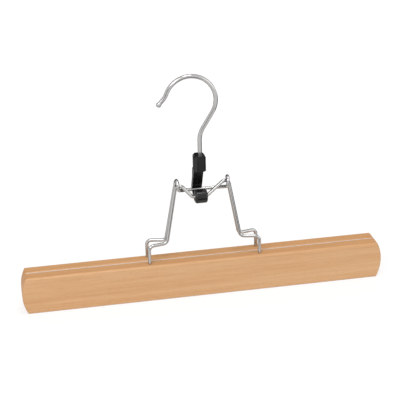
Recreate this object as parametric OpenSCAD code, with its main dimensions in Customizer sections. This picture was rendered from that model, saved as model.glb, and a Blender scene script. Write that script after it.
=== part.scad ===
// Clamp-type trouser hanger. Two felt-lined wooden bars hang from two bent wire
// frames that are linked at the shoulders. A lever turns on the front frame and
// catches the rear one, which holds the jaws shut, and a hook swivels in its top.
// X runs along the bars, Y from the front jaw to the rear one, Z upwards.
// The origin is under the middle of the closed jaws, at the foot of the bars.

/* [Bars] */
// Length of each wooden bar, over its bulging ends
bar_length = 350; // [280:5:420]
// Height of each bar
bar_height = 37; // [32:0.5:44]
// Thickness of each bar without its felt
bar_thickness = 12; // [10:0.5:16]
// Radius of the bulge at the ends of a bar
bar_end_radius = 40; // [30:1:80]
// Radius of the eased edges on the outer face of a bar
bar_edge = 2.2; // [1:0.1:4]
// Radius of the rounded corners where the ends meet the top and the bottom
bar_corner = 3; // [1:0.5:6]

/* [Felt] */
// Thickness of the felt on the inner face of each bar
felt_thickness = 1; // [0.6:0.1:2]
// How far the felt stays inside the edge of its bar
felt_inset = 0.8; // [0.4:0.1:3]
// Gap between the two felts when the jaws are shut
jaw_gap = 0.4; // [0.3:0.1:1]

/* [Wire frames] */
// Diameter of the frame wire
frame_wire = 3.2; // [2.6:0.1:3.6]
// Distance of each foot hole from the middle of the bar
foot_x = 53.3; // [48:0.1:70]
// Depth of the foot holes in the bars
foot_depth = 18; // [10:1:26]
// Height of the flat run above the top of the bars
run_rise = 18; // [14:0.5:26]
// Distance of the lower end of each leg from the middle
leg_x = 35.5; // [34:0.5:40]
// Distance of the lower end of each leg from the plane between the jaws
leg_y = 3.6; // [3.2:0.1:5]
// Radius of the bends above the feet and at the lower end of the legs
leg_bend = 4.5; // [3:0.5:6]

/* [Shoulders] */
// Distance of the corner of the front frame's shoulder from the middle
shoulder_x = 24.4; // [23.5:0.1:26]
// Height of the corner of the front shoulder above the axle of the lever
shoulder_rise = 15.8; // [15.4:0.1:17.5]
// Bend radius of the front shoulder
shoulder_bend = 4.5; // [4:0.1:5]
// Radius of the loop of the rear frame that passes over the front shoulder
loop_radius = 4.2; // [4:0.1:4.8]
// Room between the front shoulder and the top of the loop
loop_room = 0.5; // [0.4:0.1:1]

/* [Lever] */
// Sideways place of the lever, from the middle of the hanger
lever_x = -2.2; // [-3:0.1:1]
// Height of the lever's axle above the top of the bars
axle_rise = 63.5; // [58:0.5:70]
// Distance of the axle in front of the plane between the jaws
axle_y = 5.2; // [4.5:0.1:6]
// Diameter of the round barrel on the axle
barrel_diameter = 12.8; // [11:0.1:14]
// Length of the barrel
barrel_length = 11.6; // [11:0.1:13]
// Radius of the rounded rims of the barrel
barrel_rim = 1.8; // [0.8:0.1:2.5]
// Depth of the flared mouth of the barrel on its right, where the axle bends upwards
flare_depth = 2.6; // [2:0.1:3]
// Radial clearance of the lever on its axle
axle_clearance = 0.08; // [0.03:0.01:0.1]
// Width of the grip
grip_width = 10.8; // [10.2:0.1:12]
// Depth of the grip from front to back
grip_depth = 11; // [10.5:0.1:14]
// Height of the grip
grip_height = 15.5; // [14:0.5:20]
// Height of the top of the lever above its axle
lever_rise = 40.5; // [38:0.5:46]
// How far the grip stands in front of the hook's stem
grip_front = 7; // [6:0.1:8]
// Chamfer on the upper corners and the front edges of the grip
grip_chamfer = 1.9; // [1:0.1:2.5]
// How much narrower the arm is than the grip, on each side
arm_step = 0.8; // [0.4:0.1:1.5]
// How far the arm sits to the left of the middle of the grip
arm_shift = 1.4; // [0:0.1:1.6]
// Thickness of the arm
arm_thickness = 5.2; // [4:0.1:6]
// Slope of the arm from the upright, in degrees
arm_lean = 27; // [22:1:30]

/* [Rear frame catch] */
// Height of the rear frame's cross run above the axle
catch_rise = 3.7; // [3.2:0.1:4.2]
// Distance of the cross run behind the plane between the jaws
catch_y = 4.2; // [3.8:0.1:4.8]
// Half the length of the cross run
catch_half = 16.5; // [15.5:0.1:17]
// Room round the cross run where it lies in the lever
catch_room = 0.45; // [0.3:0.05:0.6]

/* [Hook] */
// How far the hook's stem stands to the right of the middle of the grip
stem_shift = 0.9; // [0:0.1:1]
// Diameter of the hook wire
hook_wire = 3.9; // [3:0.1:4.2]
// Radius of the hook's round part, to the middle of the wire
hook_radius = 23.5; // [20:0.5:30]
// Height of the middle of the round part above the top of the lever
hook_rise = 51.7; // [48:0.1:60]
// Sideways distance of the middle of the round part from the stem
hook_offset = 7.7; // [4:0.1:10]
// Angle below the level where the round part runs into the straight neck
neck_angle = 32; // [26:1:38]
// Bend radius between the neck and the stem
neck_bend = 22; // [10:0.5:24]
// Angle above the level where the round part ends on the open side
tip_angle = 157; // [145:1:165]
// How many degrees the tip turns back outwards
tip_flick = 20; // [10:1:35]
// Length of the tip from the round part to the middle of its ball
tip_length = 13; // [11:0.5:20]
// Diameter of the ball at the tip
ball_diameter = 4.8; // [4.4:0.1:8]
// Radial clearance of the stem in the lever
stem_clearance = 0.08; // [0.03:0.01:0.1]
// Diameter of the head that keeps the stem in the lever
head_diameter = 5.8; // [5:0.1:6.4]

/* [Hidden] */
$fn = 64;
wire_fn = 32;
round_fn = 96;

// A bend is this much thicker in radius than the straights that enter its ends
bend_swell = 0.02;
bend_entry = 0.25;

// Whatever cuts a piece right through stands out of it this far
cut_past = 1;

// Jaws: distances of the faces from the plane between the jaws
felt_face = jaw_gap / 2;
bar_face = felt_face + felt_thickness;
foot_share = 0.54;
foot_y = bar_face + bar_thickness * foot_share;
run_z = bar_height + run_rise;

// Axle of the lever, and the cross run that it catches. On the left the axle runs
// clear of the barrel, on the right it bends up inside the barrel's mouth.
axle_past_left = 2.2;
axle_short_right = 0.2;
axle_z = bar_height + axle_rise;
catch_z = axle_z + catch_rise;
frame_r = frame_wire / 2;
axle_left = lever_x - barrel_length / 2 - axle_past_left;
axle_right = lever_x + barrel_length / 2 - axle_short_right;
axle_bend = 3;

// The front shoulders lie just in front of the middle plane, and the loops of the
// rear frame are centred a little further forward, where the shoulders bow out
shoulder_y = 1.25;
loop_y = shoulder_y + 0.4;
shoulder_z = axle_z + shoulder_rise;

// Rear frame in front of the shoulders: each loop stands loop_in inside the corner
// of the shoulder, and its front limb ends limb_in nearer the middle
loop_in = 0.2;
limb_in = 1;
limb_lift = 0.2;
loop_flat = 0.2;
limb_bend = 3;

// Lever: distances along the arm's normal and along the arm, from the axle
arm_n = [cos(arm_lean), sin(arm_lean)];
arm_up = [-sin(arm_lean), cos(arm_lean)];
catch_from_axle = [axle_y + catch_y, catch_rise];
seat_r = frame_r + catch_room;
catch_n = catch_from_axle * arm_n;
catch_t = catch_from_axle * arm_up;
arm_front = catch_n + seat_r;
web_top = catch_t - seat_r;
lip = 1;
web_step = 0.7;
web_bottom = web_step - barrel_diameter / 2;
heel_radius = 3.5;
flare_widening = 3.2;
arm_width = grip_width - 2 * arm_step;
lever_top = axle_z + lever_rise;
grip_bottom = lever_top - grip_height;

// The arm and the wedge behind it end this far inside the grip
arm_entry = 1.2;
wedge_reach = 6;
wedge_share = 0.35;
wedge_entry = 0.2;

// Window in the back of the grip that holds the head of the stem
head_height = 2.2;
head_room = 0.4;
head_drop = 1.5;
window_cover = 7.5;
window_height = head_height + 2 * head_room + head_drop;
window_top = lever_top - window_cover;

// Hook
hook_x = lever_x + stem_shift;
hook_r = hook_wire / 2;
hook_z = lever_top + hook_rise;
tip_share = 0.35;
tip_bend = 14;

function unit(v) = v / norm(v);

// Point of the hook's round part at the angle a above the level
function on_round(a) = [hook_x - hook_offset, 0, hook_z] + hook_radius * [cos(a), 0, sin(a)];

// Any direction square to v
function square_to(v) = unit(abs(v.z) < 0.9 ? cross(v, [0, 0, 1]) : cross(v, [1, 0, 0]));

// Length that a bend takes from the straight on each side of its corner
function bend_reach(u, w, r) = r * tan(acos(u * w) / 2);

// Centre of a bend at corner c, between the unit directions u and w
function bend_centre(c, u, w, r) = c - bend_reach(u, w, r) * u + r * unit(w - (u * w) * u);

// Places children so that their x and y axes run along the unit vectors given
module oriented(at, x, y) {
  z = cross(x, y);
  multmatrix([
    [x.x, y.x, z.x, at.x],
    [x.y, y.y, z.y, at.y],
    [x.z, y.z, z.z, at.z]
  ]) children();
}

module straight_wire(a, b, d) {
  run = unit(b - a);
  side = square_to(run);
  oriented(a, side, cross(run, side)) cylinder(h = norm(b - a), d = d, $fn = wire_fn);
}

// One bend at corner c, between the unit directions u and w
module wire_bend(c, u, w, r, d) {
  inward = unit(w - (u * w) * u);
  oriented(bend_centre(c, u, w, r), -inward, u)
    rotate_extrude(angle = acos(u * w), $fn = wire_fn)
      translate([r, 0]) circle(d = d + 2 * bend_swell);
}

// Wire bent round every inner point of a path, with one bend radius for each
module bent_wire(path, radii, d) {
  last = len(path) - 1;
  dir = [for (i = [0 : last - 1]) unit(path[i + 1] - path[i])];
  reach = [for (i = [0 : last])
    i == 0 || i == last ? 0 : bend_reach(dir[i - 1], dir[i], radii[i - 1]) - bend_entry];
  for (i = [0 : last - 1])
    straight_wire(path[i] + reach[i] * dir[i], path[i + 1] - reach[i + 1] * dir[i], d);
  for (i = [1 : last - 1])
    wire_bend(path[i], dir[i - 1], dir[i], radii[i - 1], d);
}

// Flips a path to the other side of the hanger
function mirrored(path) = [for (p = path) [-p.x, p.y, p.z]];
function reversed(list) = [for (i = [len(list) - 1 : -1 : 0]) list[i]];

// What is cut away outside a rounded corner, where out points out of the corner
module corner_waste(at, out, r) {
  translate(at - r * out) difference() {
    translate([out.x > 0 ? 0 : -2 * r, out.y > 0 ? 0 : -2 * r]) square(2 * r);
    circle(r);
  }
}

// Cross-section of a bar: inner face at zero, outer edges eased
module bar_section() {
  difference() {
    square([bar_thickness, bar_height]);
    corner_waste([bar_thickness, bar_height], [1, 1], bar_edge);
    corner_waste([bar_thickness, 0], [1, -1], bar_edge);
    corner_waste([0, bar_height], [-1, 1], bar_edge / 3);
  }
}

// Rim of the round end, as it is spun about the axis of the bulge
module bar_rim() {
  difference() {
    square([bar_end_radius, bar_thickness]);
    corner_waste([bar_end_radius, bar_thickness], [1, 1], bar_edge);
  }
}

// Outline of a bar seen from the front, shrunk by inset
module bar_outline(inset) {
  r = bar_end_radius - inset;
  corner = bar_corner - min(inset, bar_corner / 2);
  half = bar_height / 2 - inset;
  end_x = bar_length / 2 - bar_end_radius;
  corner_x = end_x + sqrt(pow(r - corner, 2) - pow(half - corner, 2));
  touch = (half - corner) * r / (r - corner);
  translate([0, bar_height / 2]) {
    square([2 * corner_x, 2 * half], center = true);
    for (s = [-1, 1]) {
      intersection() {
        translate([s * end_x, 0]) circle(r, $fn = round_fn);
        translate([s * (end_x + r), 0]) square([2 * r, 2 * touch], center = true);
      }
      for (t = [-1, 1])
        translate([s * corner_x, t * (half - corner)]) circle(corner);
    }
  }
}

// Wooden bar with its inner face at y = 0 and its outer face towards +y
module wooden_bar() {
  end_x = bar_length / 2 - bar_end_radius;
  tall = 2 * bar_end_radius;
  difference() {
    intersection() {
      translate([-bar_length / 2, 0, 0])
        rotate([90, 0, 90]) linear_extrude(bar_length) bar_section();
      translate([0, 0, bar_height / 2]) union() {
        translate([-end_x, 0, -tall / 2]) cube([2 * end_x, bar_thickness, tall]);
        for (s = [-1, 1])
          translate([s * end_x, 0, 0]) rotate([-90, 0, 0]) rotate_extrude($fn = round_fn) bar_rim();
      }
      translate([0, bar_thickness + cut_past, 0])
        rotate([90, 0, 0]) linear_extrude(bar_thickness + 2 * cut_past) bar_outline(0);
    }
    for (s = [-1, 1])
      translate([s * foot_x, foot_y - bar_face, bar_height - foot_depth])
        cylinder(h = foot_depth + cut_past, d = frame_wire);
  }
}

module felt_sheet() {
  translate([0, felt_thickness, 0])
    rotate([90, 0, 0]) linear_extrude(felt_thickness) bar_outline(felt_inset);
}

module front_bar() {
  color("burlywood") mirror([0, 1, 0]) translate([0, bar_face, 0]) wooden_bar();
}

module rear_bar() {
  color("burlywood") translate([0, bar_face, 0]) wooden_bar();
}

module front_felt() {
  color("gainsboro") mirror([0, 1, 0]) translate([0, felt_face, 0]) felt_sheet();
}

module rear_felt() {
  color("gainsboro") translate([0, felt_face, 0]) felt_sheet();
}

// Foot, flat run and lower end of a leg, on the +x side at distance y
function foot_path(y, ys) = [
  [foot_x, ys * foot_y, bar_height - foot_depth],
  [foot_x, ys * foot_y, run_z],
  [leg_x, ys * y, run_z]
];

// Corner of the front shoulder on the +x side, and the height of its bend's centre
// when the wire dips from it to an end of the axle that is end_x from the middle
shoulder = [shoulder_x, -shoulder_y, shoulder_z];
function shoulder_centre_z(end_x) = bend_centre(
  shoulder,
  unit(shoulder - foot_path(leg_y, -1)[2]),
  unit([end_x, -axle_y, axle_z] - shoulder),
  shoulder_bend
).z;

// The loops clear the higher of the two shoulders
loop_top = max(shoulder_centre_z(axle_right), shoulder_centre_z(-axle_left))
  + shoulder_bend + frame_wire + loop_room;

// Front frame: the legs rise to round shoulders, then dip to the lever's axle
module front_wire_frame() {
  right = concat(foot_path(leg_y, -1), [shoulder]);
  axle = [for (x = [axle_right, axle_left]) [x, -axle_y, axle_z]];
  path = concat(right, axle, reversed(mirrored(right)));
  side_bends = [leg_bend, leg_bend, shoulder_bend, axle_bend];
  color("silver") bent_wire(path, concat(side_bends, reversed(side_bends)), frame_wire);
}

// Rear frame: the legs loop forwards over the front shoulders, pass back under
// them and meet in the straight cross run that the lever catches
module rear_wire_frame() {
  loop_x = shoulder_x - loop_in;
  right = concat(foot_path(leg_y, 1), [
    [loop_x, loop_radius - loop_y, loop_top],
    [loop_x, -loop_radius - loop_y, loop_top],
    [loop_x - limb_in, -loop_radius - loop_y, loop_top - 2 * loop_radius + limb_lift],
    [catch_half, catch_y, catch_z]
  ]);
  loop_bend = loop_radius - loop_flat / 2;
  side_bends = [leg_bend, leg_bend, loop_bend, loop_bend, limb_bend, limb_bend];
  color("silver")
    bent_wire(concat(right, reversed(mirrored(right))),
              concat(side_bends, reversed(side_bends)), frame_wire);
}

// Sets a side view of the lever upright: x is the distance behind the axle and
// y the height above it, both on the lever's own axes
module arm_slice() {
  translate([lever_x - arm_shift - arm_width / 2, -axle_y, axle_z]) rotate([90, 0, 90])
    linear_extrude(arm_width) children();
}

// Side view of the arm and of the web under the cross run
module arm_side() {
  arm_top = (grip_bottom + arm_entry - axle_z - arm_front * sin(arm_lean)) / cos(arm_lean);
  back = arm_front + arm_thickness;
  rotate(arm_lean) difference() {
    union() {
      translate([arm_front, web_bottom]) square([arm_thickness, arm_top - web_bottom]);
      translate([0, web_bottom]) square([back, web_top - web_bottom]);
      translate([catch_n, web_top - lip]) square([seat_r + lip, seat_r + lip]);
    }
    translate([catch_n, catch_t]) circle(seat_r);
    corner_waste([back, web_bottom], [1, -1], heel_radius);
  }
}

// Side view of the wedge that carries the back of the grip down into the arm
module back_wedge_side() {
  back_y = axle_y - grip_front + grip_depth;
  rise = grip_bottom - axle_z;
  foot = (arm_front + arm_thickness - wedge_entry) * arm_n + rise * wedge_share * arm_up;
  top = rise + arm_entry;
  polygon([[back_y, top], [back_y - wedge_reach, top], foot]);
}

module grip() {
  half = grip_width / 2;
  back_y = grip_depth - grip_front;
  c = grip_chamfer;
  intersection() {
    translate([lever_x, 0, grip_bottom]) linear_extrude(grip_height) polygon([
      [-half, back_y], [half, back_y], [half, c - grip_front],
      [half - c, -grip_front], [c - half, -grip_front], [-half, c - grip_front]
    ]);
    translate([lever_x, back_y + cut_past, grip_bottom]) rotate([90, 0, 0])
      linear_extrude(grip_depth + 2 * cut_past) polygon([
        [-half, 0], [half, 0], [half, grip_height - c],
        [half - c, grip_height], [c - half, grip_height], [-half, grip_height - c]
      ]);
  }
}

// Barrel with rounded rims, lying along x on the axle
module barrel() {
  r = barrel_diameter / 2;
  translate([lever_x - barrel_length / 2, -axle_y, axle_z]) rotate([0, 90, 0])
    rotate_extrude() difference() {
      square([r, barrel_length]);
      corner_waste([r, barrel_length], [1, 1], barrel_rim);
      corner_waste([r, 0], [1, -1], barrel_rim);
    }
}

module lock_lever() {
  color("dimgray") difference() {
    union() {
      arm_slice() arm_side();
      arm_slice() back_wedge_side();
      grip();
      barrel();
    }
    // bore on the front frame's axle
    translate([lever_x - barrel_length, -axle_y, axle_z]) rotate([0, 90, 0])
      cylinder(h = 2 * barrel_length, d = frame_wire + 2 * axle_clearance);
    // flared mouth for the bend at the right end of the axle
    translate([lever_x + barrel_length / 2 - flare_depth, -axle_y, axle_z]) rotate([0, 90, 0])
      cylinder(h = flare_depth + cut_past, r1 = frame_r, r2 = frame_r + flare_widening);
    // bore of the hook's stem
    translate([hook_x, 0, window_top - cut_past])
      cylinder(h = lever_top - window_top + 2 * cut_past, d = hook_wire + 2 * stem_clearance);
    // window for the head of the stem, open at the back
    translate([hook_x - head_diameter / 2 - head_room, -head_diameter / 2 - head_room,
               window_top - window_height])
      cube([head_diameter + 2 * head_room, grip_depth + head_diameter, window_height]);
  }
}

// Round part of the hook, a ring open from the tip down to the neck
module hook_round() {
  far = 3 * hook_radius;
  open_side = [for (a = [tip_angle, 220, 270, 360 - neck_angle]) far * [cos(a), sin(a)]];
  rotate([90, 0, 0]) difference() {
    rotate_extrude($fn = round_fn)
      translate([hook_radius, 0]) circle(hook_r + bend_swell, $fn = wire_fn);
    translate([0, 0, -hook_wire])
      linear_extrude(2 * hook_wire) polygon(concat([[0, 0]], open_side));
  }
}

// Swivelling hook: headed stem, neck, round part and tip with a ball
module hook() {
  neck_top = on_round(-neck_angle);
  neck_run = [-sin(neck_angle), 0, -cos(neck_angle)];
  neck_length = (neck_top.x - hook_x) / sin(neck_angle);
  elbow = neck_top + neck_length * neck_run;
  stem_foot = [hook_x, 0, window_top - head_room - head_height / 2];
  tip_start = on_round(tip_angle);
  tip_run = [-sin(tip_angle), 0, cos(tip_angle)];
  flick_run = [-sin(tip_angle - tip_flick), 0, cos(tip_angle - tip_flick)];
  flick_corner = tip_start + tip_length * tip_share * tip_run;
  ball = flick_corner + tip_length * (1 - tip_share) * flick_run;
  color("silver") {
    translate([hook_x - hook_offset, 0, hook_z]) hook_round();
    bent_wire([stem_foot, elbow, neck_top - bend_entry * neck_run], [neck_bend], hook_wire);
    bent_wire([tip_start - bend_entry * tip_run, flick_corner, ball], [tip_bend], hook_wire);
    translate(ball) sphere(d = ball_diameter);
    translate([hook_x, 0, stem_foot.z - head_height / 2])
      cylinder(h = head_height, d = head_diameter);
  }
}

front_bar();
rear_bar();
front_felt();
rear_felt();
front_wire_frame();
rear_wire_frame();
lock_lever();
hook();
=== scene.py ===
# %% [markdown]
# A wooden clamp hanger for trousers. Two bars lined with felt hang on two bent wire
# frames, a black lever locks them, and a hook swivels in the top of the lever.
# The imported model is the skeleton: it fixes every size and every moving body. Each
# cell below explains one piece or one finish, then makes it, so the file can be read
# from top to bottom like a lesson.

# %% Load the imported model
import math

import bmesh
import bpy
from mathutils import Matrix, Vector


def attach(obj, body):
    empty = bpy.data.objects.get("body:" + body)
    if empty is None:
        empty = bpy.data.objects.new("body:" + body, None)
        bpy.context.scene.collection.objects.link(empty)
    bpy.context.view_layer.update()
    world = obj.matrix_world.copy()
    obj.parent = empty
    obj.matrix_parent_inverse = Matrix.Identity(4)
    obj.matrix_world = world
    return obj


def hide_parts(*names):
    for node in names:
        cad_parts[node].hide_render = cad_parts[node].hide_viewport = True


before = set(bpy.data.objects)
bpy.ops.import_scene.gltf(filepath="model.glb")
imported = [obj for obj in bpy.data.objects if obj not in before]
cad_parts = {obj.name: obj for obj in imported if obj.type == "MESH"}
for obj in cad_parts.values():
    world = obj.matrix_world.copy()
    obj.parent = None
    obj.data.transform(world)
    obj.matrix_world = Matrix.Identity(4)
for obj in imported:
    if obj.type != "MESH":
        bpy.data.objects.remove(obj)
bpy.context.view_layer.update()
MM = 0.001

# %% [markdown]
# The camera stands a little to the left of the hanger and looks down on it, like the
# product photograph. A constraint that tracks the hanger could aim it, but the picture
# is also turned by a degree. So the three axes of the camera are worked out from an
# azimuth, an elevation and a small roll, which is easier to reason about than a
# rotation matrix. The place was fitted so that the known length of the bars, the feet
# of the wires and the top of the hook all land where the picture has them. A long lens
# keeps the bars almost parallel.

# %% Camera
AZIMUTH, ELEVATION, ROLL = (math.radians(a) for a in (-10.438, 22.997, -1.306))
CAMERA_DISTANCE = 1.1
AIM_RIGHT, AIM_HEIGHT, AIM_UP = -2.148 * MM, 100 * MM, -5.212 * MM
LENS_MM, SENSOR_MM = 105.37, 36.0
NEAREST_SEEN = 0.05

back = Vector((math.sin(AZIMUTH) * math.cos(ELEVATION),
               -math.cos(AZIMUTH) * math.cos(ELEVATION), math.sin(ELEVATION)))
right = Vector((math.cos(AZIMUTH), math.sin(AZIMUTH), 0.0))
up = back.cross(right)
aim = AIM_RIGHT * right + Vector((0, 0, AIM_HEIGHT)) + AIM_UP * up
turned = Matrix.Rotation(ROLL, 3, back)
axes = Matrix((turned @ right, turned @ up, back)).transposed()

camera_data = bpy.data.cameras.new("camera")
camera_data.lens = LENS_MM
camera_data.sensor_width = SENSOR_MM
camera_data.clip_start = NEAREST_SEEN
camera = bpy.data.objects.new("camera", camera_data)
camera.matrix_world = Matrix.Translation(aim + CAMERA_DISTANCE * back) @ axes.to_4x4()
bpy.context.collection.objects.link(camera)
bpy.context.scene.camera = camera
bpy.context.scene.view_settings.view_transform = "Standard"
print("camera at", [round(v, 3) for v in camera.matrix_world.translation])

# %% [markdown]
# Materials are small graphs of nodes. A few links come back in every graph: a value
# moved from one range to another, a plain noise, a ramp of tones and a colour laid
# over another. Each could be wired by hand every time. A helper apiece keeps the cells
# below short, so that what differs between two finishes is what one reads.

# %% Helpers for nodes
COLOUR_A, COLOUR_B, COLOUR_RESULT = 6, 7, 2    # sockets of a Mix node set to colour


def grey(level):
    """Opaque grey of one level."""
    return (level, level, level, 1)


def remapped(nodes, links, value, old=(0.0, 1.0), new=(0.0, 1.0)):
    """Map Range node that moves a value from its old range to a new one."""
    node = nodes.new("ShaderNodeMapRange")
    node.inputs["From Min"].default_value, node.inputs["From Max"].default_value = old
    node.inputs["To Min"].default_value, node.inputs["To Max"].default_value = new
    links.new(value, node.inputs["Value"])
    return node


def noise(nodes, links, vector, scale=1.0, detail=2.0, roughness=0.5, distortion=0.0):
    """Noise node that reads the given coordinates."""
    node = nodes.new("ShaderNodeTexNoise")
    node.inputs["Scale"].default_value = scale
    node.inputs["Detail"].default_value = detail
    node.inputs["Roughness"].default_value = roughness
    node.inputs["Distortion"].default_value = distortion
    links.new(vector, node.inputs["Vector"])
    return node


def tone_ramp(nodes, links, value, stops):
    """Colour that a value picks from a ramp of (position, colour) stops."""
    node = nodes.new("ShaderNodeValToRGB")
    elements = node.color_ramp.elements
    for i, (position, colour) in enumerate((stops[0], stops[-1])):
        elements[i].position = position
        elements[i].color = colour
    for position, colour in stops[1:-1]:
        elements.new(position).color = colour
    links.new(value, node.inputs["Fac"])
    return node.outputs["Color"]


def laid_over(nodes, links, under, colour, factor, way="MIX"):
    """A plain colour laid over another one, by a factor that varies."""
    node = nodes.new("ShaderNodeMix")
    node.data_type = "RGBA"
    node.blend_type = way
    links.new(factor, node.inputs["Factor"])
    links.new(under, node.inputs[COLOUR_A])
    node.inputs[COLOUR_B].default_value = colour
    return node.outputs[COLOUR_RESULT]


print("helpers for nodes ready")

# %% [markdown]
# The background is plain white. Brighter lamps would make it so as well, but they
# would bleach the wood. Here the floor and the world are white only for what the camera
# sees, for what the wire and the black plastic mirror, and for what glass would let
# through. The background is clean and the metal mirrors it, while the wood gets the
# light of a dimmer room.

# %% Rays that see white
def seen_directly(nodes, links):
    """One for camera, glossy and transmission rays, and zero for all others."""
    path = nodes.new("ShaderNodeLightPath")
    total = path.outputs["Is Camera Ray"]
    for ray in ("Is Glossy Ray", "Is Transmission Ray"):
        either = nodes.new("ShaderNodeMath")
        either.operation = "MAXIMUM"
        links.new(total, either.inputs[0])
        links.new(path.outputs[ray], either.inputs[1])
        total = either.outputs[0]
    return total


print("rays that see white picked out")

# %% [markdown]
# The floor is a wide sheet of white paper. If it only glowed, the hanger would seem to
# float, and if the lamps alone lit it, it would turn grey towards the back. So near
# the hanger a share of its white comes from the lamps, which keeps the soft shadow.
# Far from it the paper only glows, so no horizon shows. The share follows the distance
# from the middle of the floor.

# %% Floor
FLOOR_SIZE = 8.0
PAPER_GREY = 0.86
PAPER_GLOW = 1.08
GLOW_SHARE_NEAR = 0.70
NEAR_FLOOR, FAR_FLOOR = 0.35, 1.2


def paper_white(name):
    """White floor that keeps the shadow near the hanger and only glows far from it."""
    material = bpy.data.materials.new(name)
    material.use_nodes = True
    nodes, links = material.node_tree.nodes, material.node_tree.links
    nodes.clear()
    out = nodes.new("ShaderNodeOutputMaterial")
    paper = nodes.new("ShaderNodeBsdfDiffuse")
    paper.inputs["Color"].default_value = grey(PAPER_GREY)
    glow = nodes.new("ShaderNodeEmission")
    glow.inputs["Color"].default_value = grey(1)
    glow.inputs["Strength"].default_value = PAPER_GLOW
    away = nodes.new("ShaderNodeVectorMath")
    away.operation = "LENGTH"
    links.new(nodes.new("ShaderNodeTexCoord").outputs["Object"], away.inputs[0])
    share = remapped(nodes, links, away.outputs["Value"],
                     (NEAR_FLOOR, FAR_FLOOR), (GLOW_SHARE_NEAR, 1.0))
    seen_share = nodes.new("ShaderNodeMath")
    seen_share.operation = "MULTIPLY"
    links.new(seen_directly(nodes, links), seen_share.inputs[0])
    links.new(share.outputs["Result"], seen_share.inputs[1])
    mix = nodes.new("ShaderNodeMixShader")
    links.new(seen_share.outputs[0], mix.inputs[0])
    links.new(paper.outputs[0], mix.inputs[1])
    links.new(glow.outputs[0], mix.inputs[2])
    links.new(mix.outputs[0], out.inputs["Surface"])
    return material


bpy.ops.mesh.primitive_plane_add(size=FLOOR_SIZE, location=(0, 0, 0))
floor = bpy.context.object
floor.name = "floor"
floor.data.materials.append(paper_white("floor_paper"))
print("floor", FLOOR_SIZE, "m wide")

# %% [markdown]
# The room round the hanger is Blender's world. White for every ray would be simplest,
# but light from all sides would flatten the bars and the lever. The same switch keeps
# it white for the camera and for reflections, and dimmer for the light that falls on
# the hanger.

# %% World
WORLD_FILL = 0.56

world = bpy.data.worlds.new("studio")
bpy.context.scene.world = world
world.use_nodes = True
nodes, links = world.node_tree.nodes, world.node_tree.links
background = nodes["Background"]
background.inputs["Color"].default_value = grey(1)
level = remapped(nodes, links, seen_directly(nodes, links), new=(WORLD_FILL, 1.0))
links.new(level.outputs["Result"], background.inputs["Strength"])
print("world gives the hanger", WORLD_FILL, "of its white")

# %% [markdown]
# Four soft lamps model the shapes. One large lamp would be simpler, but a black part
# shows only by what it mirrors. So a small lamp above the front draws a bright line on
# the black barrel, the key lamp on the left lights the wood, and a weak one fills in
# from the right. The rear lamp is there for whoever walks round the hanger, and
# reflections leave it out. Each is a square, given by its place, size and power.

# %% Lamps
LAMPS_AIM = Vector((0, 0, 0.08))


def soft_lamp(name, place, size, power):
    """Square area lamp that points at the middle of the hanger."""
    data = bpy.data.lights.new(name, "AREA")
    data.shape = "SQUARE"
    data.size = size
    data.energy = power
    lamp = bpy.data.objects.new(name, data)
    lamp.location = place
    lamp.rotation_euler = (LAMPS_AIM - lamp.location).to_track_quat("-Z", "Y").to_euler()
    bpy.context.collection.objects.link(lamp)
    print(name, "at", place)
    return lamp


soft_lamp("key_lamp", place=(-0.75, -1.05, 1.05), size=0.70, power=8.5)
soft_lamp("fill_lamp", place=(1.10, -0.90, 0.60), size=0.90, power=2.8)
soft_lamp("top_lamp", place=(0.00, -0.30, 1.30), size=0.45, power=3.8)
rear_lamp = soft_lamp("rear_lamp", place=(0.50, 1.30, 0.70), size=1.00, power=6.0)
rear_lamp.visible_glossy = False

# %% [markdown]
# Polished wire is nothing but what it mirrors. In an all-white room it would melt into
# the background. A darker metal would stand out but look like lead, so it is done as a
# photographer does it, with dark cards round the object. At its two edges a wire
# mirrors what lies behind it, so the cards behind and beside it darken those edges.
# The near one on the left is only grey, because the left side of the black grip
# mirrors it too and keeps a pale rim. The upright card behind does the same for level
# wire, and keeps the top of the bars from going milky. The one that stands front left
# draws a dark core along the slanted neck, and a small one in front calms the face of
# the black lever.
# Only reflections see the cards, so they neither show nor throw a shadow.

# %% Dark cards
FLOOR_CARD_Z = 0.002
FLAT, UPRIGHT = 0, 90


def dark_card(name, place, size, tilt, level):
    """Card of a level of grey that only reflections can see."""
    paint = bpy.data.materials.new(name + "_paint")
    paint.use_nodes = True
    card_shader = paint.node_tree.nodes["Principled BSDF"]
    card_shader.inputs["Base Color"].default_value = grey(level)
    card_shader.inputs["Specular IOR Level"].default_value = 0.0
    bpy.ops.mesh.primitive_plane_add(size=1.0)
    card = bpy.context.object
    card.name = name
    card.scale = (*size, 1)
    card.rotation_euler = (math.radians(tilt), 0, 0)
    card.location = place
    card.visible_camera = False
    card.visible_diffuse = False
    card.visible_shadow = False
    card.data.materials.append(paint)
    print(name, "of", size, "m")


dark_card("right_floor_card", (0.55, 0.00, FLOOR_CARD_Z), (0.60, 0.30), FLAT, 0.12)
dark_card("front_left_card", (-0.64, -1.36, 0.22), (0.60, 0.44), UPRIGHT, 0.05)
dark_card("left_floor_card", (-0.22, 0.21, FLOOR_CARD_Z), (0.36, 0.28), FLAT, 0.28)
dark_card("rear_left_card", (-0.53, 0.76, FLOOR_CARD_Z), (1.00, 0.82), FLAT, 0.05)
dark_card("lever_card", (0.05, -0.215, FLOOR_CARD_Z), (0.13, 0.22), FLAT, 0.06)
dark_card("rear_floor_card", (0.57, 0.62, FLOOR_CARD_Z), (1.20, 1.10), FLAT, 0.05)
dark_card("rear_card", (0.00, 1.35, 0.85), (2.60, 1.60), UPRIGHT, 0.06)

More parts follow.
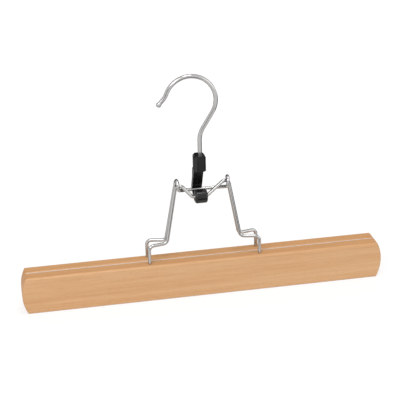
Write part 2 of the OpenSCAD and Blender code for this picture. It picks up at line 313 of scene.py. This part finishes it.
# %% [markdown]
# Nothing real is perfectly even: oiled wood, drawn wire, felt and moulded plastic all
# have a slight mottling. A painted picture could bring it, or every finish could get
# nodes of its own. One node group does it for all: it mixes a coarse and a fine noise,
# and each finish uses the group with its own scale and its own range. The group puts
# out a value for the roughness and a height for the bump, which are things that vary
# over the surface. The shader itself stays in each material.

# %% Shared unevenness
FINER_BY, FINE_SHARE = 7.0, 0.4
USUAL_NOISE = (0.3, 0.7)    # a noise seldom leaves this range

unevenness = bpy.data.node_groups.new("unevenness", "ShaderNodeTree")
for socket, way, kind in (("Vector", "INPUT", "NodeSocketVector"),
                          ("Scale", "INPUT", "NodeSocketFloat"),
                          ("Low", "INPUT", "NodeSocketFloat"),
                          ("High", "INPUT", "NodeSocketFloat"),
                          ("Value", "OUTPUT", "NodeSocketFloat"),
                          ("Height", "OUTPUT", "NodeSocketFloat")):
    unevenness.interface.new_socket(socket, in_out=way, socket_type=kind)
nodes, links = unevenness.nodes, unevenness.links
group_in = nodes.new("NodeGroupInput")
group_out = nodes.new("NodeGroupOutput")
coarse = noise(nodes, links, group_in.outputs["Vector"], detail=3.0)
links.new(group_in.outputs["Scale"], coarse.inputs["Scale"])
finer = nodes.new("ShaderNodeMath")
finer.operation = "MULTIPLY"
finer.inputs[1].default_value = FINER_BY
links.new(group_in.outputs["Scale"], finer.inputs[0])
fine = noise(nodes, links, group_in.outputs["Vector"], detail=6.0)
links.new(finer.outputs[0], fine.inputs["Scale"])
blend = nodes.new("ShaderNodeMix")
blend.inputs["Factor"].default_value = FINE_SHARE
links.new(coarse.outputs["Fac"], blend.inputs["A"])
links.new(fine.outputs["Fac"], blend.inputs["B"])
spread = remapped(nodes, links, blend.outputs["Result"], old=USUAL_NOISE)
links.new(group_in.outputs["Low"], spread.inputs["To Min"])
links.new(group_in.outputs["High"], spread.inputs["To Max"])
links.new(spread.outputs["Result"], group_out.inputs["Value"])
links.new(fine.outputs["Fac"], group_out.inputs["Height"])
print("shared effect:", unevenness.name)

# %% [markdown]
# Every finish starts in the same way: a new material, a place to read the pattern
# from, and then the shared unevenness for roughness and bump. The place could be the
# picture's own, but the pattern would slide as one walks round. Object coordinates
# stay with the solid wherever it moves. Bars and felts have the right shape already,
# so they keep it and are only dressed in their new material.

# %% Helpers for finishes
def fresh_material(name):
    """New material with its nodes, links, shader and Object coordinates at hand."""
    material = bpy.data.materials.new(name)
    material.use_nodes = True
    nodes = material.node_tree.nodes
    place = nodes.new("ShaderNodeTexCoord").outputs["Object"]
    return material, nodes, material.node_tree.links, nodes["Principled BSDF"], place


def stretched(nodes, links, place, scale):
    """The coordinates, stretched along the axes where the scale is small."""
    mapping = nodes.new("ShaderNodeMapping")
    mapping.inputs["Scale"].default_value = scale
    links.new(place, mapping.inputs["Vector"])
    return mapping.outputs["Vector"]


def uneven_roughness(nodes, links, shader, vector, scale, low, high):
    """Roughness from the shared group; the group's height is returned."""
    group = nodes.new("ShaderNodeGroup")
    group.node_tree = unevenness
    group.inputs["Scale"].default_value = scale
    group.inputs["Low"].default_value = low
    group.inputs["High"].default_value = high
    links.new(vector, group.inputs["Vector"])
    links.new(group.outputs["Value"], shader.inputs["Roughness"])
    return group.outputs["Height"]


def bumped(nodes, links, shader, height, distance, strength=1.0):
    """Feeds a height into the shader's normal, as a bump that is distance deep."""
    bump = nodes.new("ShaderNodeBump")
    bump.inputs["Distance"].default_value = distance
    bump.inputs["Strength"].default_value = strength
    links.new(height, bump.inputs["Height"])
    links.new(bump.outputs["Normal"], shader.inputs["Normal"])


def dress(packed_pieces, material):
    """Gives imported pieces, which keep their shape, a finish."""
    for name in packed_pieces:
        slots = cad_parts[name].data.materials
        slots.clear()
        slots.append(material)
        print(name, "wears", material.name)


print("helpers for finishes ready")

# %% [markdown]
# The bars are a pale hardwood with a thin clear oil. Its figure runs along the bar:
# broad soft bands as long as a hand, and over them fibre streaks under a millimetre
# high. A wave texture could draw the bands, but its lines come out too regular. An
# ordinary noise looks more like wood once it is read through coordinates that are
# stretched along the bar. On the cut ends it then shows as dots, as end grain does.

# %% Figure of the wood
WOOD_PALE = (0.732, 0.460, 0.254, 1)
WOOD_BODY = (0.655, 0.378, 0.182, 1)
WOOD_STREAK = (0.560, 0.270, 0.105, 1)
BAND_STRETCH = (4, 150, 150)
FIBRE_STRETCH = (24, 1100, 1100)
FIBRE_SHARE = 0.55

oiled_wood, nodes, links, shader, place = fresh_material("oiled_wood")
bands = noise(nodes, links, stretched(nodes, links, place, BAND_STRETCH),
              detail=4.0, distortion=0.6)
fibres = noise(nodes, links, stretched(nodes, links, place, FIBRE_STRETCH),
               detail=5.0, roughness=0.65)
figure = nodes.new("ShaderNodeMix")
figure.inputs["Factor"].default_value = FIBRE_SHARE
links.new(bands.outputs["Fac"], figure.inputs["A"])
links.new(fibres.outputs["Fac"], figure.inputs["B"])
wood_colour = tone_ramp(nodes, links, figure.outputs["Result"],
                        [(0.25, WOOD_STREAK), (0.50, WOOD_BODY), (0.75, WOOD_PALE)])
print("figure of the wood mixed")

# %% [markdown]
# The round ends of the bars are cut across the fibres and drink more oil, so they are
# more orange than the wide faces. The narrow top and bottom faces get the same darker
# orange as painted shade, so that the lamps above don't make the tops paler than the
# fronts. Each face could get a material of its own. A mask from the surface normal does
# it in one: it follows the solid, not the camera, and it fades softly over the rounded
# edges. The wide faces look along Y.

# %% Oiled ends and painted shade on the narrow faces
WOOD_OIL_AND_SHADE = (0.89, 0.77, 0.63, 1)
WIDE_FACE, NARROW_FACE, OIL_AND_SHADE_SHARE = 0.9, 0.35, 0.8

geometry = nodes.new("ShaderNodeNewGeometry")
split = nodes.new("ShaderNodeSeparateXYZ")
links.new(geometry.outputs["Normal"], split.inputs["Vector"])
facing = nodes.new("ShaderNodeMath")
facing.operation = "ABSOLUTE"
links.new(split.outputs["Y"], facing.inputs[0])
narrow = remapped(nodes, links, facing.outputs[0],
                  (WIDE_FACE, NARROW_FACE), (0.0, OIL_AND_SHADE_SHARE))
# painted shade: this darker orange on the narrow top and bottom faces offsets the lamps
# above; on the cut ends it is oil soaked into end grain
wood_colour = laid_over(nodes, links, wood_colour, WOOD_OIL_AND_SHADE,
                        narrow.outputs["Result"], "MULTIPLY")
print("ends oiled, narrow faces given painted shade")

# %% [markdown]
# Last come the pores, fine dark dashes a few millimetres long, and the skin of the
# wood. The pores could be cut as small grooves, but they are finer than a pixel even
# close up, so dark dots of colour do. The fibres that colour the wood also raise its
# surface by a few hundredths of a millimetre, and a thin coat stands for the oil.

# %% Pores and skin of the wood
WOOD_PORE = (0.420, 0.200, 0.085, 1)
PORE_STRETCH, PORE_EDGE, PORE_SHARE = (260, 3200, 3200), (0.60, 0.74), 0.55
SKIN_STRETCH = (0.15, 1, 1)

pore_noise = noise(nodes, links, stretched(nodes, links, place, PORE_STRETCH))
pores = remapped(nodes, links, pore_noise.outputs["Fac"], PORE_EDGE, (0.0, PORE_SHARE))
wood_colour = laid_over(nodes, links, wood_colour, WOOD_PORE, pores.outputs["Result"])
links.new(wood_colour, shader.inputs["Base Color"])
uneven_roughness(nodes, links, shader, stretched(nodes, links, place, SKIN_STRETCH),
                 scale=260, low=0.42, high=0.56)
bumped(nodes, links, shader, fibres.outputs["Fac"], distance=0.00006, strength=0.6)
shader.inputs["Coat Weight"].default_value = 0.06
shader.inputs["Coat Roughness"].default_value = 0.3
dress(("front_bar", "rear_bar"), oiled_wood)

# %% [markdown]
# The felt is pressed wool about a millimetre thick, a warm light grey. Real hairs
# could be grown on it, but from an arm's length only its matted edge can be seen. Felt
# has no weave, so a fine noise gives it its short fibres, as a bump and as small
# changes of tone, and a little sheen lets the fibres catch light along the edge.

# %% Pressed felt
FELT_DEEP = (0.60, 0.54, 0.50, 1)
FELT_PALE = (0.86, 0.80, 0.76, 1)

pressed_felt, nodes, links, shader, place = fresh_material("pressed_felt")
mat_fibres = noise(nodes, links, place, scale=1500, detail=6.0, roughness=0.7)
felt_colour = tone_ramp(nodes, links, mat_fibres.outputs["Fac"],
                        [(0.3, FELT_DEEP), (0.7, FELT_PALE)])
links.new(felt_colour, shader.inputs["Base Color"])
uneven_roughness(nodes, links, shader, place, scale=400, low=0.88, high=1.0)
bumped(nodes, links, shader, mat_fibres.outputs["Fac"], distance=0.0003)
shader.inputs["Sheen Weight"].default_value = 0.3
shader.inputs["Sheen Roughness"].default_value = 0.6
dress(("front_felt", "rear_felt"), pressed_felt)

# %% [markdown]
# The frames and the hook are steel wire with bright nickel on it. Nickel mirrors the
# room softly and is a little warm. One even metal would do from far off, but close up
# it looks like a drawing. The plating over drawn wire isn't optically flat, so the
# roughness wanders a little and a very shallow bump breaks up the reflections.

# %% Nickel plate
NICKEL_DEEP = (0.435, 0.430, 0.425, 1)
NICKEL_PALE = (0.540, 0.535, 0.525, 1)

nickel_plate, nodes, links, shader, place = fresh_material("nickel_plate")
shader.inputs["Metallic"].default_value = 1.0
plate_height = uneven_roughness(nodes, links, shader, place,
                                scale=220, low=0.13, high=0.21)
plate_colour = tone_ramp(nodes, links, plate_height, [(0, NICKEL_DEEP), (1, NICKEL_PALE)])
links.new(plate_colour, shader.inputs["Base Color"])
bumped(nodes, links, shader, plate_height, distance=0.00001, strength=0.3)
print("wire finish:", nickel_plate.name)

# %% [markdown]
# Bent wire is the easiest thing to get nearly right and the hardest to get quite
# right. A curve with a round bevel would round every corner by guesswork. Here one
# circle of vertices is carried along the path as the bending machine would do it:
# extruded along each straight, then spun round the centre of each bend by the angle
# of the bend. The tube stays round, its diameter never changes, and the corners get
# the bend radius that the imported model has.

# %% Ring, straight and bend
WIRE_SIDES = 28
BEND_STEP = math.radians(6)
FEWEST_STEPS = 2


def turned_to(way, at):
    """Matrix that lays +Z along a way and moves it to a place."""
    lay = Vector((0, 0, 1)).rotation_difference(way).to_matrix().to_4x4()
    return Matrix.Translation(at) @ lay


def ring_of(geometry):
    """Edges of a ring among grown vertices and edges, without the edges between rings."""
    verts = {part for part in geometry if isinstance(part, bmesh.types.BMVert)}
    edges = [part for part in geometry if isinstance(part, bmesh.types.BMEdge)
             and part.verts[0] in verts and part.verts[1] in verts]
    return list(verts), edges


def new_ring(bm, at, along, radius):
    """Circle of edges, square to the direction given."""
    made = bmesh.ops.create_circle(bm, cap_ends=False, segments=WIRE_SIDES,
                                   radius=radius)
    bmesh.ops.transform(bm, matrix=turned_to(along, at), verts=made["verts"])
    return list({edge for vert in made["verts"] for edge in vert.link_edges})


def straight_on(bm, ring, move):
    """Extrudes the ring along a straight and returns the ring at its far end."""
    verts, far_ring = ring_of(bmesh.ops.extrude_edge_only(bm, edges=ring)["geom"])
    bmesh.ops.translate(bm, vec=move, verts=verts)
    return far_ring


def bend_on(bm, ring, centre, axis, angle):
    """Spins the ring round the centre of a bend and returns the ring at its far end."""
    verts = list({vert for edge in ring for vert in edge.verts})
    steps = max(FEWEST_STEPS, math.ceil(angle / BEND_STEP))
    spun = bmesh.ops.spin(bm, geom=verts + ring, cent=centre, axis=axis, angle=angle,
                          steps=steps, use_merge=False, use_duplicate=False)
    return ring_of(spun["geom_last"])[1]


print("wire has", WIRE_SIDES, "sides")

# %% [markdown]
# A whole wire could be kept as hundreds of points, but nobody could read its bends in
# them. Here it is its list of corner points and the radius of the bend at each inner
# one, which is how a bending shop writes it down. A bend takes a length of tangent off
# both straights that meet there: its radius times the tangent of half the turn.

# %% A wire along a path
def wire_along(bm, path, bends, diameter, ring=None):
    """Round wire through the points of a path, rounded at every inner point."""
    points = [Vector(point) * MM for point in path]
    ways = [(b - a).normalized() for a, b in zip(points, points[1:])]
    turns = [a.angle(b) for a, b in zip(ways, ways[1:])]
    cuts = [0.0] + [r * MM * math.tan(t / 2) for r, t in zip(bends, turns)] + [0.0]
    if ring is None:
        ring = new_ring(bm, points[0], ways[0], diameter * MM / 2)
    for i, way in enumerate(ways):
        length = (points[i + 1] - points[i]).length - cuts[i] - cuts[i + 1]
        ring = straight_on(bm, ring, way * length)
        if i < len(turns):
            axis = way.cross(ways[i + 1]).normalized()
            centre = points[i + 1] - way * cuts[i + 1] + axis.cross(way) * bends[i] * MM
            ring = bend_on(bm, ring, centre, axis, turns[i])
    return ring


print("wires follow their corner points")

# %% [markdown]
# A bmesh becomes a piece of the hanger when it has an object, a finish and smooth
# shading that stops at sharp edges. It is also hung on the body it rides on, and the
# imported solid it stands for is hidden. All this could be repeated for every piece,
# but then one of them would sooner or later forget a line. The object stays at the
# origin, and the place is in the mesh, as with the imported solids.

# %% Finishing a piece
SHARP_FROM = math.radians(35)


def finished_piece(bm, name, material, body, node):
    """Turns a bmesh into a piece that rides on its body and stands for its node."""
    bmesh.ops.recalc_face_normals(bm, faces=bm.faces)
    mesh = bpy.data.meshes.new(name)
    bm.to_mesh(mesh)
    bm.free()
    mesh.materials.append(material)
    mesh.shade_smooth()
    mesh.set_sharp_from_angle(angle=SHARP_FROM)
    piece = bpy.data.objects.new(name, mesh)
    bpy.context.collection.objects.link(piece)
    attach(piece, body)
    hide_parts(node)
    print(name, "has", len(mesh.polygons), "faces")
    return piece


print("edges sharp from", round(math.degrees(SHARP_FROM)), "degrees")

# %% [markdown]
# Each frame is one wire from foot to foot. It could be modelled as separate legs and
# shoulders, but one path is shorter to write and can't leave a seam. Both frames start
# as a foot sunk in the bar and a flat run above it. The front frame then rises to a
# round shoulder, falls to the axle of the lever and does the same on the other side.
# The lever stands a little left of the middle, so the two slopes differ.

# %% Front frame
FRAME_WIRE = 3.2
BAR_HEIGHT, FOOT_DEPTH, RUN_Z = 37.0, 18.0, 55.0
FOOT_X, FOOT_Y, LEG_X, LEG_Y = 53.3, 7.68, 35.5, 3.6
SHOULDER_X, SHOULDER_Y, SHOULDER_Z = 24.4, -1.25, 116.3
AXLE_LEFT, AXLE_RIGHT, AXLE_Y, AXLE_Z = -10.2, 3.4, -5.2, 100.5
RUN_BENDS, SHOULDER_BEND, AXLE_BEND = [4.5, 4.5], 4.5, 3.0


def leg_from_foot(side):
    """Foot, run and lower end of a leg on the right, in front (-1) or behind (+1)."""
    return [(FOOT_X, side * FOOT_Y, BAR_HEIGHT - FOOT_DEPTH),
            (FOOT_X, side * FOOT_Y, RUN_Z), (LEG_X, side * LEG_Y, RUN_Z)]


def both_sides(half, middle=()):
    """A path from the right foot to the left foot."""
    return half + list(middle) + [(-x, y, z) for x, y, z in reversed(half)]


def frame_wire(name, path, half_bends, body, node):
    """One frame, bent from a single wire, with its cut ends closed."""
    bm = bmesh.new()
    wire_along(bm, path, half_bends + half_bends[::-1], FRAME_WIRE)
    bmesh.ops.holes_fill(bm, edges=bm.edges, sides=WIRE_SIDES)
    return finished_piece(bm, name, nickel_plate, body, node)


front_half = leg_from_foot(-1) + [(SHOULDER_X, SHOULDER_Y, SHOULDER_Z)]
axle = [(AXLE_RIGHT, AXLE_Y, AXLE_Z), (AXLE_LEFT, AXLE_Y, AXLE_Z)]
frame_wire("front_frame_wire", both_sides(front_half, axle),
           RUN_BENDS + [SHOULDER_BEND, AXLE_BEND], "front_jaw", "front_wire_frame")

# %% [markdown]
# The rear frame loops forwards over the front one's shoulder, passes back under it and
# crosses behind the lever. Its loops could be placed by eye, but the looped shoulders
# are the hinge of the whole clamp and have to clear the front wire all the way round.
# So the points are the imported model's own, where that room was worked out.

# %% Rear frame
LOOP_X, LOOP_Y, LOOP_RADIUS, LOOP_TOP = 24.2, -1.65, 4.2, 116.551
LIMB_X, LIMB_Z = 23.2, 108.351
CATCH_X, CATCH_Y, CATCH_Z = 16.5, 4.2, 104.2
LOOP_BEND, LIMB_BEND, CATCH_BEND = 4.1, 3.0, 3.0

rear_half = leg_from_foot(1) + [
    (LOOP_X, LOOP_Y + LOOP_RADIUS, LOOP_TOP), (LOOP_X, LOOP_Y - LOOP_RADIUS, LOOP_TOP),
    (LIMB_X, LOOP_Y - LOOP_RADIUS, LIMB_Z), (CATCH_X, CATCH_Y, CATCH_Z)]
frame_wire("rear_frame_wire", both_sides(rear_half),
           RUN_BENDS + [LOOP_BEND, LOOP_BEND, LIMB_BEND, CATCH_BEND],
           "rear_jaw", "rear_wire_frame")

# %% [markdown]
# The hook is one longer wire: a headed stem that turns in the lever, a bend, a slanted
# neck, more than half a circle, and a tip that flicks outwards and ends in a small
# ball, so that it can't snag cloth. The round part could be drawn as many short
# straights, but a single spin about its centre is exact. The points where the neck and
# the tip leave the circle follow from their angles, so they are worked out, not typed.

# %% Line of the hook
HOOK_WIRE, HOOK_X, LEVER_TOP = 3.9, -1.3, 141.0
HOOK_RADIUS, HOOK_OFFSET, HOOK_RISE = 23.5, 7.7, 51.7
NECK_ANGLE, NECK_BEND = 32.0, 22.0
TIP_ANGLE, TIP_FLICK, TIP_LENGTH, TIP_BEND, TIP_SHARE = 157.0, 20.0, 13.0, 14.0, 0.35
STEM_FOOT_Z = 132.0
QUARTER_TURN = 90


def direction(degrees):
    """Unit direction in the plane of the hook, from its angle above the level."""
    return Vector((math.cos(math.radians(degrees)), 0, math.sin(math.radians(degrees))))


centre = Vector((HOOK_X - HOOK_OFFSET, 0, LEVER_TOP + HOOK_RISE))
neck_top = centre + HOOK_RADIUS * direction(-NECK_ANGLE)
neck_way = -direction(QUARTER_TURN - NECK_ANGLE)
elbow = neck_top + neck_way * (neck_top.x - HOOK_X) / math.sin(math.radians(NECK_ANGLE))
tip_start = centre + HOOK_RADIUS * direction(TIP_ANGLE)
tip_way = direction(TIP_ANGLE - TIP_FLICK + QUARTER_TURN)
flick_corner = (tip_start
                + TIP_LENGTH * TIP_SHARE * direction(TIP_ANGLE + QUARTER_TURN))
ball_centre = flick_corner + TIP_LENGTH * (1 - TIP_SHARE) * tip_way
print("hook spans", round(neck_top.x - tip_start.x, 1), "mm")

# %% [markdown]
# The wire of the hook is bent with the same tools as the frames. The ball and the head
# of the stem are a sphere and a short cylinder that overlap the wire, like the bead and
# the pressed head of a real one. They could be swelled out of the wire itself, but an
# overlap is simpler and gives the plain crease where they meet it.

# %% Hook
BALL_DIAMETER, BALL_RINGS = 4.8, 18
HEAD_HEIGHT, HEAD_DIAMETER = 2.2, 5.8

bm = bmesh.new()
ring = wire_along(bm, [(HOOK_X, 0, STEM_FOOT_Z), elbow, neck_top], [NECK_BEND],
                  HOOK_WIRE)
ring = bend_on(bm, ring, centre * MM, Vector((0, -1, 0)),
               math.radians(TIP_ANGLE + NECK_ANGLE))
wire_along(bm, [tip_start, flick_corner, ball_centre], [TIP_BEND], HOOK_WIRE, ring)
bmesh.ops.holes_fill(bm, edges=bm.edges, sides=WIRE_SIDES)
ball = bmesh.ops.create_uvsphere(bm, u_segments=WIRE_SIDES, v_segments=BALL_RINGS,
                                 radius=BALL_DIAMETER * MM / 2)
bmesh.ops.transform(bm, matrix=turned_to(tip_way, ball_centre * MM),
                    verts=ball["verts"])
head = bmesh.ops.create_cone(bm, cap_ends=True, segments=WIRE_SIDES,
                             radius1=HEAD_DIAMETER * MM / 2,
                             radius2=HEAD_DIAMETER * MM / 2, depth=HEAD_HEIGHT * MM)
bmesh.ops.translate(bm, vec=Vector((HOOK_X, 0, STEM_FOOT_Z)) * MM, verts=head["verts"])
finished_piece(bm, "hook_wire", nickel_plate, "hook", "hook")

# %% [markdown]
# The lever is moulded in black plastic with a fine satin skin. Black paint alone would
# give a hole in the picture: what one sees of a black part is its sheen. So the colour
# is nearly none, the roughness wanders a little, and a shallow bump stands for the
# texture of the mould. Its specular level is a little under that of clear plastic.

# %% Moulded black
BLACK_DEEP, BLACK_PALE = grey(0.003), grey(0.009)

moulded_black, nodes, links, shader, place = fresh_material("moulded_black")
skin = uneven_roughness(nodes, links, shader, place, scale=320, low=0.2, high=0.3)
black = tone_ramp(nodes, links, skin, [(0, BLACK_DEEP), (1, BLACK_PALE)])
links.new(black, shader.inputs["Base Color"])
bumped(nodes, links, shader, skin, distance=0.00005, strength=0.6)
shader.inputs["Specular IOR Level"].default_value = 0.40
print("lever finish:", moulded_black.name)

# %% [markdown]
# A mould never gives a knife edge, and it is the small rounded edges that catch the
# light and draw the shape of a black part, so they matter more here than anywhere
# else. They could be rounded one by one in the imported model, at the price of a heavy
# solid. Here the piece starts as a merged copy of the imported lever, whose flat faces
# are joined again, and a bevel rounds every edge where two faces meet sharply.

# %% Moulded lever
MERGE_WITHIN = 0.002
FLAT_WITHIN = math.radians(1)
EDGE_ROUNDING, EDGE_STEPS, EDGE_FROM = 0.35, 3, math.radians(40)

bm = bmesh.new()
bm.from_mesh(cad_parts["lock_lever"].data)
bmesh.ops.remove_doubles(bm, verts=bm.verts, dist=MERGE_WITHIN * MM)
bmesh.ops.dissolve_limit(bm, angle_limit=FLAT_WITHIN, verts=bm.verts, edges=bm.edges)
lever = finished_piece(bm, "lever_moulding", moulded_black, "lever", "lock_lever")
rounding = lever.modifiers.new("edge_rounding", "BEVEL")
rounding.width = EDGE_ROUNDING * MM
rounding.segments = EDGE_STEPS
rounding.limit_method = "ANGLE"
rounding.angle_limit = EDGE_FROM
